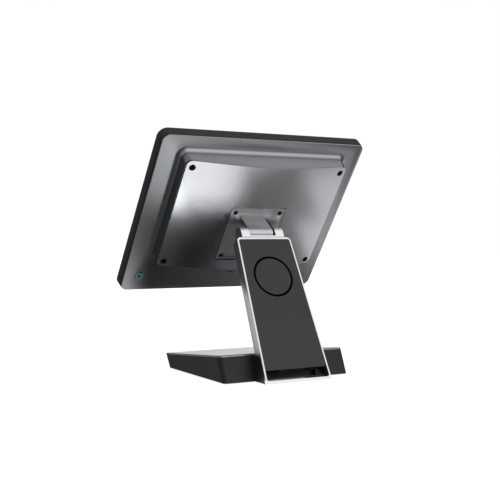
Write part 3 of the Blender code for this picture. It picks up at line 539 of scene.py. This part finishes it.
PORT_MOUTH = -0.0655
PORT_END = -0.0505
USB_CENTRES = [-0.018 + 0.0168 * step for step in (-1.5, -0.5, 0.5, 1.5)]
USB_LEVEL = -0.0168
TONGUE_HALF_WIDTH = 0.0052
TONGUE_HALF = 0.0009
USB_PIN_PITCH = 0.0023
LAN_MIDDLE = 0.027
LAN_PIN_PITCH = 0.00102
LAN_PIN_MOUTH = -0.0640
LAN_PIN_LEVELS = (-0.0145, -0.0141)
JACK_PLACE = (0.044, -0.0188)
JACK_STEPS = 20


def make_usb_details():
    for index, x in enumerate(USB_CENTRES):
        low = (x - TONGUE_HALF_WIDTH, PORT_MOUTH, USB_LEVEL - TONGUE_HALF)
        high = (x + TONGUE_HALF_WIDTH, PORT_END, USB_LEVEL + TONGUE_HALF)
        finished(f"usb_tongue_{index + 1}", slab_between(low, high, 0.0002), "usb_port_block", "black_plastic")
        for pin in range(4):
            across = x + (pin - 1.5) * USB_PIN_PITCH
            low = (across - 0.0005, PORT_MOUTH + 0.0008, USB_LEVEL + TONGUE_HALF)
            high = (across + 0.0005, PORT_END, USB_LEVEL + TONGUE_HALF + 0.00015)
            strip = slab_between(low, high, 0.00004)
            finished(f"usb_contact_{index + 1}_{pin + 1}", strip, "usb_port_block", "gold_contacts")


def make_lan_details():
    for pin in range(8):
        across = LAN_MIDDLE + (pin - 3.5) * LAN_PIN_PITCH
        low = (across - 0.0002, LAN_PIN_MOUTH, LAN_PIN_LEVELS[0])
        high = (across + 0.0002, PORT_END, LAN_PIN_LEVELS[1])
        finished(f"lan_contact_{pin + 1}", slab_between(low, high, 0.00005), "lan_port", "gold_contacts")


def make_jack_pin():
    x, level = JACK_PLACE
    angles = turns(JACK_STEPS)
    rings = []
    for y, radius in ((PORT_MOUTH + 0.0010, 0.0006), (PORT_MOUTH + 0.0015, 0.0010), (PORT_END, 0.0010)):
        rings.append([HEAD @ Vector((x + radius * math.cos(a), y, level + radius * math.sin(a))) for a in angles])
    finished("power_jack_pin", loft(rings), "power_jack", "steel")


def make_port_details():
    """The tongues, contacts and pin inside the sockets under the box."""
    make_usb_details()
    make_lan_details()
    make_jack_pin()


# ---- studio ----
FLOOR_REACH = 6.0
CAMERA_PLACE = (0.7096, 1.2435, 0.2112)
CAMERA_TURN = (math.radians(88.862), math.radians(-0.112), math.radians(150.535))
LENS_MM = 68.07
ROOM_LIGHT = 0.10
# Each large soft light: where it stands, the angles in degrees where it is full and where it ends, and its
# brightness.
SOFT_LIGHTS = (
    ((-0.49, 0.60, 0.63), 14, 46, 1.15),
    ((-0.49, 0.86, 0.08), 8, 34, 0.60),
    ((0.30, 0.75, 0.60), 10, 50, 0.50),
    ((-0.60, -0.80, 0.12), 12, 50, 0.85),
    ((0.50, -0.87, 0.05), 6, 26, 0.50),
    ((-0.49, -0.30, 0.82), 8, 36, 0.12),
    ((-0.75, 0.10, -0.65), 10, 40, 0.15),
    ((0.95, 0.10, 0.30), 10, 50, 0.45),
)
# Each low panel faces up, from floor level or below: its corners in X and Y, its height and its brightness.
LOW_PANELS = {
    "low_left_panel": ((-0.16, -0.05), (0.05, 0.70), -0.30, 1.95),
    "near_left_panel": ((-0.02, 0.100), (0.11, 0.140), -0.001, 2.20),
    "low_right_panel": ((-1.20, -0.60), (-0.29, 0.045), -0.001, 0.95),
    "far_right_panel": ((-1.20, 0.046), (-0.35, 0.14), -0.001, 0.90),
    "rear_left_panel": ((-0.32, 0.20), (-0.06, 0.50), -0.001, 0.72),
    "rear_right_panel": ((-0.62, 0.20), (-0.32, 0.50), -0.001, 0.42),
}


def make_floor():
    """White paper, which glows a little to stay white to the horizon, and leaves the lower lights alone."""
    shape = bmesh.new()
    bmesh.ops.create_grid(shape, x_segments=1, y_segments=1, size=FLOOR_REACH)
    mesh = bpy.data.meshes.new("floor")
    shape.to_mesh(mesh)
    shape.free()
    floor = bpy.data.objects.new("floor", mesh)
    bpy.context.scene.collection.objects.link(floor)
    floor.location.z = -0.0002
    glow = {"Emission_Color": (1, 1, 1, 1), "Emission_Strength": 0.85}
    paint = Paint("floor_paper", (0.60, 0.60, 0.60), 0.0, 0.8, **glow)
    paint.rough_by(paint.noise(8, 3), 0.05)
    mesh.materials.append(paint.material)
    floor.visible_glossy = False
    floor.visible_diffuse = False
    floor.visible_shadow = False


def soft_light(tree, direction, full, end, brightness):
    """How much one soft light shines from each direction of the room."""
    place = tree.nodes.new("ShaderNodeTexCoord")
    nearness = tree.nodes.new("ShaderNodeVectorMath")
    nearness.operation = "DOT_PRODUCT"
    nearness.inputs[1].default_value = Vector(direction).normalized()
    fade = tree.nodes.new("ShaderNodeMapRange")
    fade.interpolation_type = "SMOOTHSTEP"
    fade.inputs["From Min"].default_value = math.cos(math.radians(end))
    fade.inputs["From Max"].default_value = math.cos(math.radians(full))
    fade.inputs["To Max"].default_value = brightness
    tree.links.new(place.outputs["Generated"], nearness.inputs[0])
    tree.links.new(nearness.outputs["Value"], fade.inputs["Value"])
    return fade.outputs["Result"]


def make_world():
    """White behind the object, and large soft lights around it in a dim room."""
    world = bpy.data.worlds.new("white_studio")
    world.use_nodes = True
    tree = world.node_tree
    nodes, link = tree.nodes, tree.links.new
    backdrop = nodes["Background"]
    backdrop.inputs["Color"].default_value = (1, 1, 1, 1)
    room = nodes.new("ShaderNodeBackground")
    total = None
    for light in SOFT_LIGHTS:
        add = nodes.new("ShaderNodeMath")
        add.operation = "ADD"
        add.inputs[1].default_value = ROOM_LIGHT
        link(soft_light(tree, *light), add.inputs[0])
        if total:
            link(total, add.inputs[1])
        total = add.outputs[0]
    link(total, room.inputs["Strength"])
    room.inputs["Color"].default_value = (1, 1, 1, 1)
    sight = nodes.new("ShaderNodeLightPath")
    mix = nodes.new("ShaderNodeMixShader")
    link(sight.outputs["Is Camera Ray"], mix.inputs["Fac"])
    link(room.outputs["Background"], mix.inputs[1])
    link(backdrop.outputs["Background"], mix.inputs[2])
    link(mix.outputs["Shader"], nodes["World Output"].inputs["Surface"])
    bpy.context.scene.world = world


def low_panel(name, low, high, level, brightness):
    width, depth = high[0] - low[0], high[1] - low[1]
    data = bpy.data.lights.new(name, "AREA")
    data.shape = "RECTANGLE"
    data.size, data.size_y = width, depth
    data.energy = brightness * math.pi * width * depth
    panel = bpy.data.objects.new(name, data)
    bpy.context.scene.collection.objects.link(panel)
    panel.location = ((low[0] + high[0]) / 2, (low[1] + high[1]) / 2, level)
    panel.rotation_euler.x = math.pi
    panel.visible_diffuse = False


def make_studio():
    make_world()
    for name, place in LOW_PANELS.items():
        low_panel(name, *place)
    bpy.context.scene.view_settings.view_transform = "Standard"


def make_camera():
    data = bpy.data.cameras.new("camera")
    data.lens = LENS_MM
    data.sensor_width = 36.0
    data.clip_start = 0.05
    camera = bpy.data.objects.new("camera", data)
    bpy.context.scene.collection.objects.link(camera)
    camera.location = CAMERA_PLACE
    camera.rotation_euler = CAMERA_TURN
    bpy.context.scene.camera = camera


dress_frame()
make_screws()
make_power_symbol()
make_port_details()
make_floor()
make_studio()
make_camera()
